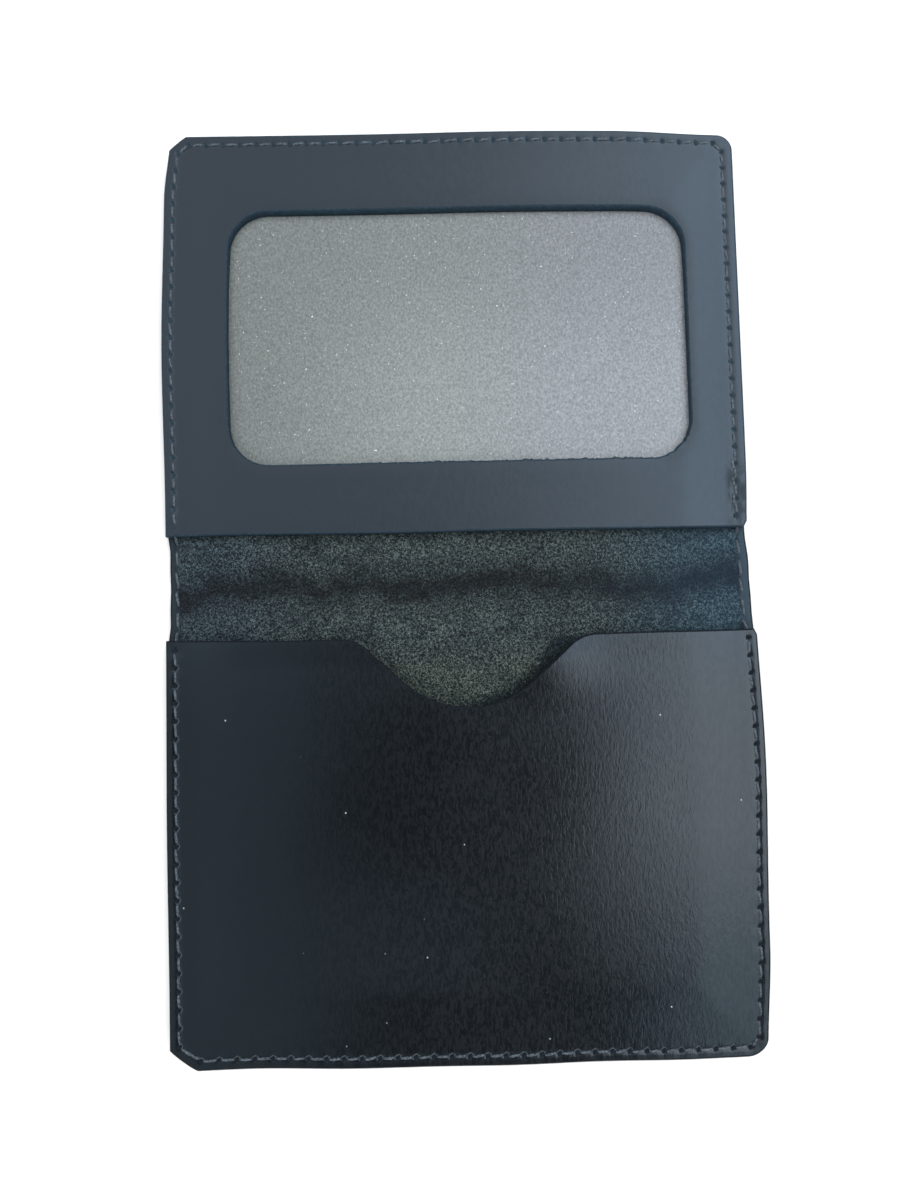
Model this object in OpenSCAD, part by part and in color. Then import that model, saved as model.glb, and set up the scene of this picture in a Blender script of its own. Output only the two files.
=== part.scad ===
// Two-fold leather card wallet, lying open with its outside down.
// X runs across the wallet, Y runs from the card pocket (-) to the window half (+), Z is up.
// The origin is in the middle of the bare band, on the surface that the wallet lies on.
// All sizes are in millimetres.

/* [Overall] */
// Width across the wallet, side to side
wallet_w = 100; // [98:0.5:122]
// Length of each half, from its mouth beside the band to its outer edge
half_l = 70.5; // [66:0.5:90]
// Length of the bare band between the two mouths
band_l = 18; // [15:0.5:30]
// Length cut off each outer corner, along each edge
corner_cut = 3; // [2.6:0.1:6]
// How far the thread draws in each side of the band
waist = 0.6; // [0.1:0.1:1]

/* [Leather] */
// Thickness of the one-piece cover
cover_t = 1.4; // [1.1:0.1:2]
// Thickness of the two inner panels
panel_t = 1.5; // [1.1:0.1:2]
// Width of the flat seam along the stitched edges
seam_w = 3.6; // [3:0.1:4.6]
// Width over which a panel rises from its seam to its face
ramp_w = 2; // [1.2:0.1:3]

/* [Card pockets] */
// Room for a card between the cover and what faces it
card_gap = 1; // [0.8:0.1:2.4]
// Width of the thumb notch, between the ends of its shoulders
notch_w = 44; // [40:1:56]
// Depth of the thumb notch
notch_depth = 12; // [8:0.5:15]
// Radius of the rounded shoulders of the notch
shoulder_r = 6; // [3:0.5:8]
// Radius of the bottom of the notch
notch_r = 16; // [12:0.5:18]

/* [Window] */
// Width of the window
window_w = 79.5; // [60:0.5:81]
// Height of the window
window_h = 44.5; // [34:0.5:48]
// Radius of the corners of the window
window_r = 6.8; // [3:0.1:12]
// Leather between the window and the mouth of its half
window_sill = 11.5; // [9:0.5:16]
// Thickness of the clear film behind the window
film_t = 0.3; // [0.2:0.05:0.6]
// How far the film reaches past the window, all round
film_margin = 3.5; // [2.5:0.1:4]
// Thickness of the adhesive that holds the film to the leather
adhesive_t = 0.1; // [0.05:0.05:0.2]
// Width of the adhesive's bare border, at the window and at the film's edge
adhesive_inset = 0.5; // [0.3:0.1:1]

/* [Fold] */
// Room left between the two faces when the wallet is shut
shut_clearance = 0.6; // [0.3:0.1:1.5]
// Width of the crease at each fold line of the cover
crease_w = 0.1; // [0.05:0.05:0.2]

/* [Stitching] */
// Length of one stitch
stitch_l = 3; // [2.5:0.1:4]
// Distance from the edge to the line of stitches
stitch_margin = 1.8; // [1.5:0.1:2.2]
// Thickness of the thread
thread_d = 0.5; // [0.4:0.05:0.6]
// How deep the needle thread sinks into the leather
sink = 0.3; // [0.2:0.05:0.35]
// Clearance between the thread and the leather around it
thread_play = 0.08; // [0.05:0.01:0.12]

/* [Hidden] */

// Colours
grain_black = "#22262c";
flesh_black = "#33393a";
film_grey = "#9aa0a3";
glue_clear = "#c9c9bf";
thread_black = "#2c333c";

// Overlap of a cut past the surface that it opens
over = 1;
// Largest turn between two points on the notch's arcs, in degrees
arc_step = 5;

// Places along Y, for the half on the +Y side
mouth_y = band_l / 2;
edge_y = mouth_y + half_l;
window_y = mouth_y + window_sill + window_h / 2;

// Heights
pocket_rise = card_gap;
window_rise = card_gap + film_t + adhesive_t;
face_inset = seam_w + ramp_w;

// The cover turns up and over on two lines, just far enough apart for both faces
spine_w = pocket_rise + window_rise + 2 * panel_t + shut_clearance;
fold_y = spine_w / 2;

// Stitching
stitch_x = wallet_w / 2 - stitch_margin;
stitch_end_y = edge_y - stitch_margin;
leg_l = thread_d * 1.6;
slit_l = leg_l + 2 * thread_play;
slit_w = thread_d + 2 * thread_play;
groove_w = thread_d + 2 * thread_play;
bobbin_sink = thread_d + 0.05;
dip_l = thread_d;
dip_h = thread_d * 0.4;
bend_clear = 0.3;
step_clear = stitch_l / 2;
// Where the needle thread and the bobbin thread lock, in one layer and in two
lock_one = cover_t / 2;
lock_two = (cover_t + panel_t) / 2;

// Corner cut of an outline drawn in by a margin, as a parallel line cuts it
function cut_at(margin) = max(0.2, corner_cut - margin * (2 - sqrt(2)));

// Whole number of stitches nearest the wanted length
function stitch_count(length) = max(1, round(length / stitch_l));

// The half's outline, drawn in by a margin on its three stitched edges, from the Y given
function half_outline(margin, from_y) = let(
        x = wallet_w / 2 - margin,
        y = edge_y - margin,
        c = cut_at(margin)
    ) [[-x, from_y], [x, from_y], [x, y - c], [x - c, y], [c - x, y], [-x, y - c]];

// The line of stitches from the mouth up one side, across the outer edge and down again
function seam_line() = let(
        x = stitch_x,
        y = stitch_end_y,
        c = cut_at(stitch_margin),
        start = mouth_y + step_clear
    ) [[x, start], [x, y - c], [x - c, y], [c - x, y], [-x, y - c], [-x, start]];

module half_plate(margin, from_y, bottom, thickness) {
    translate([0, 0, bottom])
        linear_extrude(thickness)
            polygon(half_outline(margin, from_y));
}

// Puts its children along the line from a to b, with X along that line
module along(a, b) {
    translate([a.x, a.y, 0])
        rotate([0, 0, atan2(b.y - a.y, b.x - a.x)])
            children();
}

// Slits through which the thread passes, at each end of each stitch from a to b
module slits(a, b, bottom, top) {
    length = norm(b - a);
    n = stitch_count(length);
    along(a, b)
        for (i = [0:n])
            translate([i * length / n - slit_l / 2, -slit_w / 2, bottom])
                cube([slit_l, slit_w, top - bottom]);
}

// Shallow channel that the thread lies in, along the band's side at x
module band_groove(x, from_y, to_y, bottom, depth) {
    translate([x - groove_w / 2, from_y, bottom])
        cube([groove_w, to_y - from_y, depth]);
}

// The same channel around the three stitched edges of the half
module seam_groove(bottom, depth) {
    start = mouth_y - slit_l;
    difference() {
        half_plate(stitch_margin - groove_w / 2, start, bottom, depth);
        half_plate(stitch_margin + groove_w / 2, start - over, bottom - over, depth + 2 * over);
    }
}

// Side view of a row of stitches: bars on the surface, a leg down each slit, and a dip over
// each slit that two stitches of the row share
function stitch_row(n, pitch, bar, lock, up) = let(
        top = bar + up * thread_d,
        low = bar + up * (thread_d - dip_h),
        legs = [for (i = [0:n]) each [
            [i * pitch - leg_l / 2, bar],
            [i * pitch - leg_l / 2, lock],
            [i * pitch + leg_l / 2, lock],
            [i * pitch + leg_l / 2, bar]
        ]],
        dips = [for (i = [n - 1:-1:1]) each [
            [i * pitch + dip_l / 2, top],
            [i * pitch, low],
            [i * pitch - dip_l / 2, top]
        ]]
    ) concat(legs, [[n * pitch + leg_l / 2, top]], dips, [[-leg_l / 2, top]]);

// Stitches from a to b; up is 1 for the needle thread and -1 for the bobbin thread
module stitches(a, b, bar, lock, up) {
    length = norm(b - a);
    n = stitch_count(length);
    along(a, b)
        rotate([90, 0, 0])
            linear_extrude(thread_d, center = true)
                polygon(stitch_row(n, length / n, bar, lock, up));
}

// Part of a stitch, from a to b, that lies on the surface with no slit of its own
module bar(a, b, bottom) {
    along(a, b)
        translate([0, -thread_d / 2, bottom])
            cube([norm(b - a), thread_d, thread_d]);
}

// Each stretch of the seam around a half, one after the other
module each_seam_run() {
    line = seam_line();
    for (i = [0:len(line) - 2]) {
        $from = line[i];
        $to = line[i + 1];
        children();
    }
}

// Ends of the stitches that lie on the band, from the fold line to the mouth
band_start = fold_y + stitch_l / 2;
band_end = mouth_y - step_clear;
spine_end = fold_y - stitch_l / 2;

module each_band_side() {
    for (side = [-1, 1]) {
        $x = side * stitch_x;
        children();
    }
}

// Half of the cover, on the +Y side: full width under the panel and drawn in along the band
module cover_half() {
    narrow = wallet_w / 2 - waist;
    start = fold_y + crease_w / 2;
    difference() {
        union() {
            half_plate(0, mouth_y, 0, cover_t);
            translate([-narrow, start, 0])
                cube([2 * narrow, mouth_y - start + over, cover_t]);
        }
        each_seam_run()
            slits($from, $to, -over, cover_t + over);
        seam_groove(-over, over + bobbin_sink);
        each_band_side() {
            slits([$x, band_start], [$x, band_end], -over, cover_t + over);
            band_groove($x, start - over, mouth_y, -over, over + bobbin_sink);
            band_groove($x, start - over, mouth_y, cover_t - sink, sink + over);
        }
    }
}

module cover_lower() {
    color(flesh_black) mirror([0, 1, 0]) cover_half();
}

module cover_upper() {
    color(flesh_black) cover_half();
}

// The strip of the cover that stands upright when the wallet is shut
module cover_spine() {
    narrow = wallet_w / 2 - waist;
    half = fold_y - crease_w / 2;
    color(flesh_black)
        difference() {
            translate([-narrow, -half, 0])
                cube([2 * narrow, 2 * half, cover_t]);
            each_band_side() {
                slits([$x, -spine_end], [$x, spine_end], -over, cover_t + over);
                band_groove($x, -half - over, half + over, -over, over + bobbin_sink);
                band_groove($x, -half - over, half + over, cover_t - sink, sink + over);
            }
        }
}

// The stitched border of a panel: flat on the cover, then rising to the panel's face
module panel_seam(rise) {
    color(grain_black)
        translate([0, 0, cover_t])
            difference() {
                union() {
                    half_plate(0, mouth_y, 0, panel_t);
                    hull() {
                        half_plate(seam_w, mouth_y, 0, panel_t);
                        half_plate(face_inset, mouth_y, rise, panel_t);
                    }
                }
                hull() {
                    half_plate(seam_w, mouth_y - over, -over, over);
                    half_plate(face_inset, mouth_y - over, 0, rise);
                }
                half_plate(face_inset, mouth_y - over, -over, rise + panel_t + 2 * over);
                each_seam_run()
                    slits($from, $to, -over, panel_t + over);
                seam_groove(panel_t - sink, sink + over);
            }
}

module card_pocket_seam() {
    mirror([0, 1, 0]) panel_seam(pocket_rise);
}

module window_panel_seam() {
    panel_seam(window_rise);
}

// Slope of the straight stretch that touches both the shoulder and the bottom of the notch
notch_dx = notch_w / 2;
notch_dy = notch_depth - shoulder_r - notch_r;
notch_slope = asin((shoulder_r + notch_r) / norm([notch_dx, notch_dy])) + atan2(notch_dy, notch_dx);

// Points on an arc about a centre, between two angles
function arc(centre, r, from, to) = let(
        n = ceil(abs(to - from) / arc_step)
    ) [for (i = [0:n]) let(a = from + (to - from) * i / n) centre + r * [cos(a), sin(a)]];

// Thumb notch, hanging from Y = 0: a round bottom, straight flanks and rounded shoulders
module thumb_notch(thickness) {
    right = arc([notch_dx, -shoulder_r], shoulder_r, 90, 90 + notch_slope);
    bottom = arc([0, notch_r - notch_depth], notch_r, notch_slope - 90, -90 - notch_slope);
    left = arc([-notch_dx, -shoulder_r], shoulder_r, 90 - notch_slope, 90);
    linear_extrude(thickness)
        polygon(concat([[notch_dx, over]], right, bottom, left, [[-notch_dx, over]]));
}

// Face of the card pocket
module card_pocket() {
    bottom = cover_t + pocket_rise;
    color(grain_black)
        difference() {
            mirror([0, 1, 0])
                half_plate(face_inset, mouth_y, bottom, panel_t);
            translate([0, -mouth_y, bottom - over])
                thumb_notch(panel_t + 2 * over);
        }
}

// Block with rounded corners, centred on the window
module window_block(grow, bottom, thickness) {
    w = window_w / 2 + grow;
    h = window_h / 2 + grow;
    r = max(0.5, window_r + grow);
    translate([0, window_y, bottom]) {
        translate([r - w, -h, 0]) cube([2 * (w - r), 2 * h, thickness]);
        translate([-w, r - h, 0]) cube([2 * w, 2 * (h - r), thickness]);
        for (sx = [-1, 1], sy = [-1, 1])
            translate([sx * (w - r), sy * (h - r), 0])
                cylinder(r = r, h = thickness, $fn = 64);
    }
}

// Face of the window half
module window_panel() {
    bottom = cover_t + window_rise;
    color(grain_black)
        difference() {
            half_plate(face_inset, mouth_y, bottom, panel_t);
            window_block(0, bottom - over, panel_t + 2 * over);
        }
}

module window_film() {
    w = window_w / 2 + film_margin;
    h = window_h / 2 + film_margin;
    color(film_grey, 0.5)
        translate([-w, window_y - h, cover_t + card_gap])
            cube([2 * w, 2 * h, film_t]);
}

// Adhesive frame between the film and the leather
module film_adhesive() {
    w = window_w / 2 + film_margin - adhesive_inset;
    h = window_h / 2 + film_margin - adhesive_inset;
    bottom = cover_t + card_gap + film_t;
    color(glue_clear)
        difference() {
            translate([-w, window_y - h, bottom])
                cube([2 * w, 2 * h, adhesive_t]);
            window_block(adhesive_inset, bottom - over, adhesive_t + 2 * over);
        }
}

// The stitch that climbs from the band on to a panel, up the edge of the panel's mouth
module step_stitch() {
    low = cover_t - sink;
    high = low + panel_t;
    edge = mouth_y - thread_play;
    finish = mouth_y + step_clear;
    each_band_side()
        translate([$x, 0, 0])
            rotate([90, 0, 90])
                linear_extrude(thread_d, center = true)
                    polygon([
                        [band_end, low], [edge, low], [edge, high], [finish, high],
                        [finish, high + thread_d], [edge - thread_d, high + thread_d],
                        [edge - thread_d, low + thread_d], [band_end, low + thread_d]
                    ]);
}

module needle_half() {
    each_seam_run()
        stitches($from, $to, cover_t + panel_t - sink, lock_two, 1);
    each_band_side() {
        stitches([$x, band_start], [$x, band_end], cover_t - sink, lock_one, 1);
        bar([$x, fold_y + bend_clear], [$x, band_start], cover_t - sink);
    }
    step_stitch();
}

module bobbin_half() {
    each_seam_run()
        stitches($from, $to, bobbin_sink, lock_two, -1);
    each_band_side() {
        stitches([$x, band_start], [$x, band_end], bobbin_sink, lock_one, -1);
        bar([$x, fold_y + bend_clear], [$x, band_start], bobbin_sink - thread_d);
        bar([$x, band_end], [$x, mouth_y + step_clear], bobbin_sink - thread_d);
    }
}

module needle_thread_lower() {
    color(thread_black) mirror([0, 1, 0]) needle_half();
}

module needle_thread_upper() {
    color(thread_black) needle_half();
}

module bobbin_thread_lower() {
    color(thread_black) mirror([0, 1, 0]) bobbin_half();
}

module bobbin_thread_upper() {
    color(thread_black) bobbin_half();
}

// The stitches on the spine, each run ending short of the fold lines
module spine_stitches(surface, bottom, up) {
    each_band_side() {
        stitches([$x, -spine_end], [$x, spine_end], surface, lock_one, up);
        bar([$x, bend_clear - fold_y], [$x, -spine_end], bottom);
        bar([$x, spine_end], [$x, fold_y - bend_clear], bottom);
    }
}

module needle_thread_spine() {
    color(thread_black) spine_stitches(cover_t - sink, cover_t - sink, 1);
}

module bobbin_thread_spine() {
    color(thread_black) spine_stitches(bobbin_sink, bobbin_sink - thread_d, -1);
}

cover_lower();
cover_spine();
cover_upper();
card_pocket();
card_pocket_seam();
window_panel();
window_panel_seam();
window_film();
film_adhesive();
needle_thread_lower();
needle_thread_spine();
needle_thread_upper();
bobbin_thread_lower();
bobbin_thread_spine();
bobbin_thread_upper();
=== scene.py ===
import math

import bpy
import numpy as np
from mathutils import Matrix, Vector
from mathutils.geometry import delaunay_2d_cdt


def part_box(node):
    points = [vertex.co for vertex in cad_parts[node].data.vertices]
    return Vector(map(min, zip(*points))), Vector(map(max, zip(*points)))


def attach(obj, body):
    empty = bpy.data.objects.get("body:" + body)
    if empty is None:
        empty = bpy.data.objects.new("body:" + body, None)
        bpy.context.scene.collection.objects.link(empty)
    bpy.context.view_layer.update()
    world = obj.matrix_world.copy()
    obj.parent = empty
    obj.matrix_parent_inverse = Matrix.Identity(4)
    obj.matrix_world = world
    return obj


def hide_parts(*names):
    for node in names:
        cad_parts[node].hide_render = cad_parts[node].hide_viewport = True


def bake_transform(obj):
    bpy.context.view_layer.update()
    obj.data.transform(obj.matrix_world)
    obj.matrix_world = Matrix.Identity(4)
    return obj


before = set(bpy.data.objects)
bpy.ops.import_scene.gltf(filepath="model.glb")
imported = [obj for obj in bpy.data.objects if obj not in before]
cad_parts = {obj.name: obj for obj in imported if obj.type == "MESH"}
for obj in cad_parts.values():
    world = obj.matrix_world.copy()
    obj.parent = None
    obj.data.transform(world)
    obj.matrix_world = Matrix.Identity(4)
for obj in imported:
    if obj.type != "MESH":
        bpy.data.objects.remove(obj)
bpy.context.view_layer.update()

# Looks of the two-fold card wallet, lying open with its outside down.
#
# Lengths inside this script are in millimetres until a mesh is made. Each half of the wallet is
# described in its own coordinates: x across, v away from the band, and h = +1 for the window half
# or -1 for the pocket half, so that y = h * v.

MM = 0.001
rng = np.random.default_rng(11)


# ---------------------------------------------------------------- sizes, from the CAD nodes

def node_box(node):
    """The lowest and the highest corner of a CAD node, in millimetres."""
    low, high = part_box(node)
    return np.array(low) / MM, np.array(high) / MM


COVER_HIGH = node_box("cover_upper")[1]
POCKET_LOW = node_box("card_pocket")[0]
FACE_LOW, FACE_HIGH = node_box("window_panel")
FILM_LOW, FILM_HIGH = node_box("window_film")
THREAD_HIGH = node_box("needle_thread_upper")[1]

HALF_W = COVER_HIGH[0]
EDGE_V = COVER_HIGH[1]
MOUTH_V = FACE_LOW[1]
COVER_T = COVER_HIGH[2]
PANEL_T = FACE_HIGH[2] - FACE_LOW[2]
SEAM_TOP = COVER_T + PANEL_T
# Empty, the panels lie closer to the cover than the card room that the CAD leaves
POCKET_RISE = 0.45 * (POCKET_LOW[2] - COVER_T)
WINDOW_RISE = 0.30 * (FACE_LOW[2] - COVER_T)

# Stitches: the CAD thread's half thickness and the line it lies on, the distance from hole to hole,
# and the radius of a needle hole
CAD_THREAD_R = 0.25
STITCH_X = THREAD_HIGH[0] - CAD_THREAD_R
STITCH_V = THREAD_HIGH[1] - CAD_THREAD_R
PITCH = 2.98
HOLE_R = 0.40
FIRST_HOLE_V = MOUTH_V + PITCH / 2

# The window was cut a little off centre
WINDOW_HALF_W = 39.75
WINDOW_HALF_H = 22.4
WINDOW_R = 6.8
WINDOW_X = 0.95
WINDOW_V = (FILM_LOW[1] + FILM_HIGH[1]) / 2 + 0.45

# Thumb notch: its round bottom, and the place across and the radius of each shoulder
NOTCH_X = 0.9
NOTCH_DEPTH = 11.8
NOTCH_R = 16.0
LEFT_SHOULDER = (-20.2, 5.0)
RIGHT_SHOULDER = (22.6, 6.5)

# Rounding of every cut edge
EDGE_R = 0.3

# Corners of the two halves: size along x, size along v, and the power of the curve, which is close
# to 1 for a straight cut and close to 2 for a round corner
CUT = 1.12
ROUND = 1.8
CORNERS = {
    (1, -1): (2.9, 2.5, CUT),
    (1, 1): (2.6, 2.6, ROUND),
    (-1, -1): (4.6, 3.4, CUT),
    (-1, 1): (3.4, 2.8, ROUND),
}


# ---------------------------------------------------------------- shape of the worn outline

def smooth(t):
    """A soft step from 0 to 1 while t goes from 0 to 1."""
    t = np.clip(t, 0, 1)
    return t * t * (3 - 2 * t)


def hump(t, centre, width):
    """A bell of height 1 round the centre."""
    return np.exp(-(((t - centre) / width) ** 2))


def side_bow(x, v, h):
    """How far a side stands out of the straight outline: it bellies out in one place, and draws in
    towards the outer corner."""
    if h > 0:
        left = 0.65 * hump(v, 42, 20) - 0.95 * smooth((v - 68) / 11.5)
        right = -0.3 - 0.3 * hump(v, 9, 6)
    else:
        left = -0.4 * smooth((v - 35) / 40)
        right = 0.8 * hump(v, 31, 20) - 0.95 * smooth((v - 62) / 17.5)
    return np.where(x < 0, left, right) * smooth(v / 9)


def edge_bow(x, h):
    """How far the outer edge stands out of the straight outline."""
    if h > 0:
        return -0.22 + 0.3 * hump(x, 10, 18) - 1.0 * smooth((x - 28) / 22)
    return -0.3 + 0.6 * smooth((x + 40) / 35) + 0.08 * np.sin(x / 4.5)


def warp(x, v, h):
    """Place on the worn wallet, in x and y, of a point given on the straight one."""
    still_x, still_v = 12, 38
    across = smooth((np.abs(x) - still_x) / (HALF_W - still_x))
    along = smooth((v - still_v) / (EDGE_V - still_v))
    new_x = x + np.sign(x) * side_bow(x, v, h) * across
    new_v = v + edge_bow(x, h) * along
    return new_x, h * new_v


def corner_points(h, side, count=9):
    """Points round an outer corner, from the side to the outer edge."""
    a, b, power = CORNERS[h, side]
    angle = np.linspace(0, math.pi / 2, count)
    x = HALF_W - a + a * np.cos(angle) ** (2 / power)
    v = EDGE_V - b + b * np.sin(angle) ** (2 / power)
    return np.column_stack([side * x, v])


def line_points(start, end, step=0.5):
    """Evenly spaced points from start up to, but not at, end."""
    start, end = np.array(start, float), np.array(end, float)
    count = max(1, int(round(np.linalg.norm(end - start) / step)))
    t = np.arange(count)[:, None] / count
    return start + (end - start) * t


def band_half_width(v, side):
    """The band is a little narrower than the halves, more so on its left side."""
    narrowing = 0.08 if side > 0 else 0.36
    # It widens to the full width at the panels' mouths
    return HALF_W - narrowing * (1 - smooth((v - 6.0) / 3.5))


def outer_path(h, from_v):
    """Up the right side, round both corners along the outer edge, and down the left side."""
    right = corner_points(h, 1)
    left = corner_points(h, -1)[::-1]
    return np.vstack([
        line_points((HALF_W, from_v), right[0]),
        right[:-1],
        line_points(right[-1], left[0]),
        left[:-1],
        line_points(left[-1], (-HALF_W, from_v)),
        [[-HALF_W, from_v]],
    ])


def arc(centre, radius, start, end, step=6):
    """Points round an arc, with the angles in degrees."""
    count = max(2, int(math.ceil(abs(end - start) / step)))
    angle = np.radians(np.linspace(start, end, count + 1))
    return np.array(centre) + radius * np.column_stack([np.cos(angle), np.sin(angle)])


def notch_path(mouth):
    """The mouth of the card pocket from left to right, with its thumb notch."""
    slopes = []
    for shoulder_x, shoulder_r in (LEFT_SHOULDER, RIGHT_SHOULDER):
        dx = abs(shoulder_x - NOTCH_X)
        dy = NOTCH_DEPTH - shoulder_r - NOTCH_R
        slope = math.asin((shoulder_r + NOTCH_R) / math.hypot(dx, dy)) + math.atan2(dy, dx)
        slopes.append(math.degrees(slope))
    left_slope, right_slope = slopes
    left_x, left_r = LEFT_SHOULDER
    right_x, right_r = RIGHT_SHOULDER
    bottom = (NOTCH_X, NOTCH_DEPTH - NOTCH_R)
    left = arc((left_x, left_r), left_r, -90, -90 + left_slope)
    low = arc(bottom, NOTCH_R, 90 + left_slope, 90 - right_slope, 3)
    right = arc((right_x, right_r), right_r, -90 - right_slope, -90)
    path = np.vstack([
        line_points((-HALF_W, 0), left[0]),
        left,
        line_points(left[-1], low[0])[1:],
        low,
        line_points(low[-1], right[0])[1:],
        right,
        line_points(right[-1], (HALF_W, 0))[1:],
    ])
    path[:, 1] += mouth(path[:, 0])
    return path


def window_path():
    """The window's edge, clockwise seen from above on the straight wallet."""
    parts = []
    for side, end, start in ((1, 1, 0), (-1, 1, 90), (-1, -1, 180), (1, -1, 270)):
        centre = (
            WINDOW_X + side * (WINDOW_HALF_W - WINDOW_R),
            WINDOW_V + end * (WINDOW_HALF_H - WINDOW_R),
        )
        parts.append(arc(centre, WINDOW_R, start, start + 90, 5))
    path = []
    for i, part in enumerate(parts):
        path.append(part[:-1])
        path.append(line_points(part[-1], parts[(i + 1) % 4][0], 0.38))
    path = np.vstack(path)[::-1]
    # Fibres left by a blunt cut along the lower edge, more of them to the right
    above_edge = path[:, 1] - (WINDOW_V - WINDOW_HALF_H)
    low = smooth((7 - above_edge) / 4) * smooth((path[:, 0] + 30) / 30)
    fibre_length = 0.15
    nick = np.abs(rng.normal(0, fibre_length, len(path))) * low
    return path + closed_normals(path) * nick[:, None]


# ---------------------------------------------------------------- stitches

def seam_corners(h):
    """The stitch line's corners, from the right mouth round to the left mouth."""
    # The window half was sewn a little further in on its right
    right_x = STITCH_X - (0.35 if h > 0 else 0.0)
    points = [(right_x, FIRST_HOLE_V)]
    for side, seam_x in ((1, right_x), (-1, STITCH_X)):
        a, b, power = CORNERS[h, side]
        cut_a = max(1.3, a - 1.05) if power == CUT else 1.5
        cut_b = max(1.3, b - 1.05) if power == CUT else 1.5
        pair = [(side * seam_x, STITCH_V - cut_b), (side * (seam_x - cut_a), STITCH_V)]
        points += pair if side > 0 else pair[::-1]
    points.append((-STITCH_X, FIRST_HOLE_V))
    return np.array(points)


def split_run(a, b):
    """Evenly spaced holes from a to b."""
    count = max(1, int(round(np.linalg.norm(b - a) / PITCH)))
    t = np.linspace(0, 1, count + 1)[:, None]
    return a + (b - a) * t


def seam_runs(h):
    """The holes of one half's seam, one run for each straight stretch."""
    corners = seam_corners(h)
    return [split_run(corners[i], corners[i + 1]) for i in range(len(corners) - 1)]


def band_runs():
    """Holes along the band, from the crease up to the first hole of each side seam."""
    values = np.linspace(0, FIRST_HOLE_V, 4)
    return [
        np.column_stack([np.full(len(values), side * STITCH_X), values]) for side in (1, -1)
    ]


def hole_segments(runs):
    """The ends a and b of every stitch."""
    a = np.vstack([run[:-1] for run in runs])
    b = np.vstack([run[1:] for run in runs])
    return a, b


SEAM = {h: seam_runs(h) for h in (1, -1)}
BAND = band_runs()


def line_distance(points, a, b):
    """Distance from each point to the nearest of the segments a-b."""
    best = np.full(len(points), np.inf)
    for start, end in zip(a, b):
        d = end - start
        t = np.clip((points - start) @ d / (d @ d), 0, 1)
        gap = points - start - t[:, None] * d
        best = np.minimum(best, np.hypot(gap[:, 0], gap[:, 1]))
    return best


def hole_distance(points, holes):
    """Distance from each point to the nearest hole."""
    best = np.full(len(points), np.inf)
    for hole in holes:
        gap = points - hole
        best = np.minimum(best, np.hypot(gap[:, 0], gap[:, 1]))
    return best


class Stitching:
    """Where the leather dips along one half's stitches."""

    def __init__(self, runs):
        self.a, self.b = hole_segments(runs)
        self.holes = np.vstack(runs)

    def channel(self, points, width):
        """1 on the line of the stitches, falling to 0 beside it."""
        return hump(line_distance(points, self.a, self.b), 0, width)

    def dip(self, points, width):
        """1 at the holes, falling to 0 round them."""
        return hump(hole_distance(points, self.holes), 0, width)

    def patch(self):
        """Mesh points laid out along the stitches, so that every hole is drawn alike."""
        found = []
        for start, end in zip(self.a, self.b):
            d = end - start
            normal = np.array([-d[1], d[0]]) / np.linalg.norm(d)
            for t in np.arange(8) / 8:
                for offset in (-1.1, -0.75, -0.45, -0.2, 0, 0.2, 0.45, 0.75, 1.1):
                    found.append(start + d * t + normal * offset)
        return np.array(found)


# ---------------------------------------------------------------- leather plates

def closed_normals(loop):
    """Outward normals of a loop that runs anticlockwise seen from above."""
    t = np.roll(loop, -1, 0) - np.roll(loop, 1, 0)
    t /= np.maximum(np.hypot(t[:, 0], t[:, 1]), 1e-9)[:, None]
    return np.column_stack([t[:, 1], -t[:, 0]])


def inside(points, loop):
    """Whether each point is inside a closed loop."""
    x, y = points[:, 0], points[:, 1]
    result = np.zeros(len(points), bool)
    for (x1, y1), (x2, y2) in zip(loop, np.roll(loop, -1, 0)):
        if y1 == y2:
            continue
        crosses = ((y1 > y) != (y2 > y)) & (x < (x2 - x1) * (y - y1) / (y2 - y1) + x1)
        result ^= crosses
    return result


def spread(candidates, kept, gap):
    """The candidates that are further than gap from every kept point."""
    far = np.ones(len(candidates), bool)
    # In batches, to save memory
    size = 2000
    for start in range(0, len(candidates), size):
        batch = candidates[start:start + size]
        d = batch[:, None, :] - kept[None, :, :]
        far[start:start + size] = (d * d).sum(2).min(1) > gap * gap
    return candidates[far]


# Profile of a cut edge, from its upper to its lower side: how far out in edge radii, how far down
# (1 for the middle, negative measured up from the lower side), and its share of the flare
WALL = (
    (0.6, 0.12, 0.0), (0.92, 0.42, 0.15), (1.0, 1.0, 0.6), (0.92, -0.42, 1.0), (0.6, -0.12, 1.0),
)


def link(name, data):
    """A new object that holds data, in the scene."""
    obj = bpy.data.objects.new(name, data)
    bpy.context.scene.collection.objects.link(obj)
    return obj


def make_mesh(name, vertices, faces, material_index=None, sharp=None):
    """An object from millimetres, which keeps its points' places at rest for the materials."""
    mesh = bpy.data.meshes.new(name)
    mesh.from_pydata((np.asarray(vertices) * MM).tolist(), [], faces)
    mesh.polygons.foreach_set("use_smooth", [True] * len(mesh.polygons))
    if material_index is not None:
        mesh.polygons.foreach_set("material_index", material_index)
    if sharp:
        attribute = mesh.attributes.new("sharp_edge", "BOOLEAN", "EDGE")
        values = [tuple(sorted(edge.vertices)) in sharp for edge in mesh.edges]
        attribute.data.foreach_set("value", values)
    rest = mesh.attributes.new("rest", "FLOAT_VECTOR", "POINT")
    rest.data.foreach_set("vector", np.asarray(vertices, np.float32).ravel())
    mesh.update()
    return link(name, mesh)


def rim_normals(loop):
    """Outward normals of a plate's outline. The crease is a straight joint between the two cover
    halves, so it has no rounded edge and only its two ends stand out sideways."""
    normal = closed_normals(loop)
    crease = loop[:, 1] < 1e-6
    ends = np.abs(loop[crease, 0]) > 0.9 * HALF_W
    normal[crease] = np.column_stack([np.sign(normal[crease, 0]) * ends, np.zeros(len(ends))])
    return normal


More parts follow.
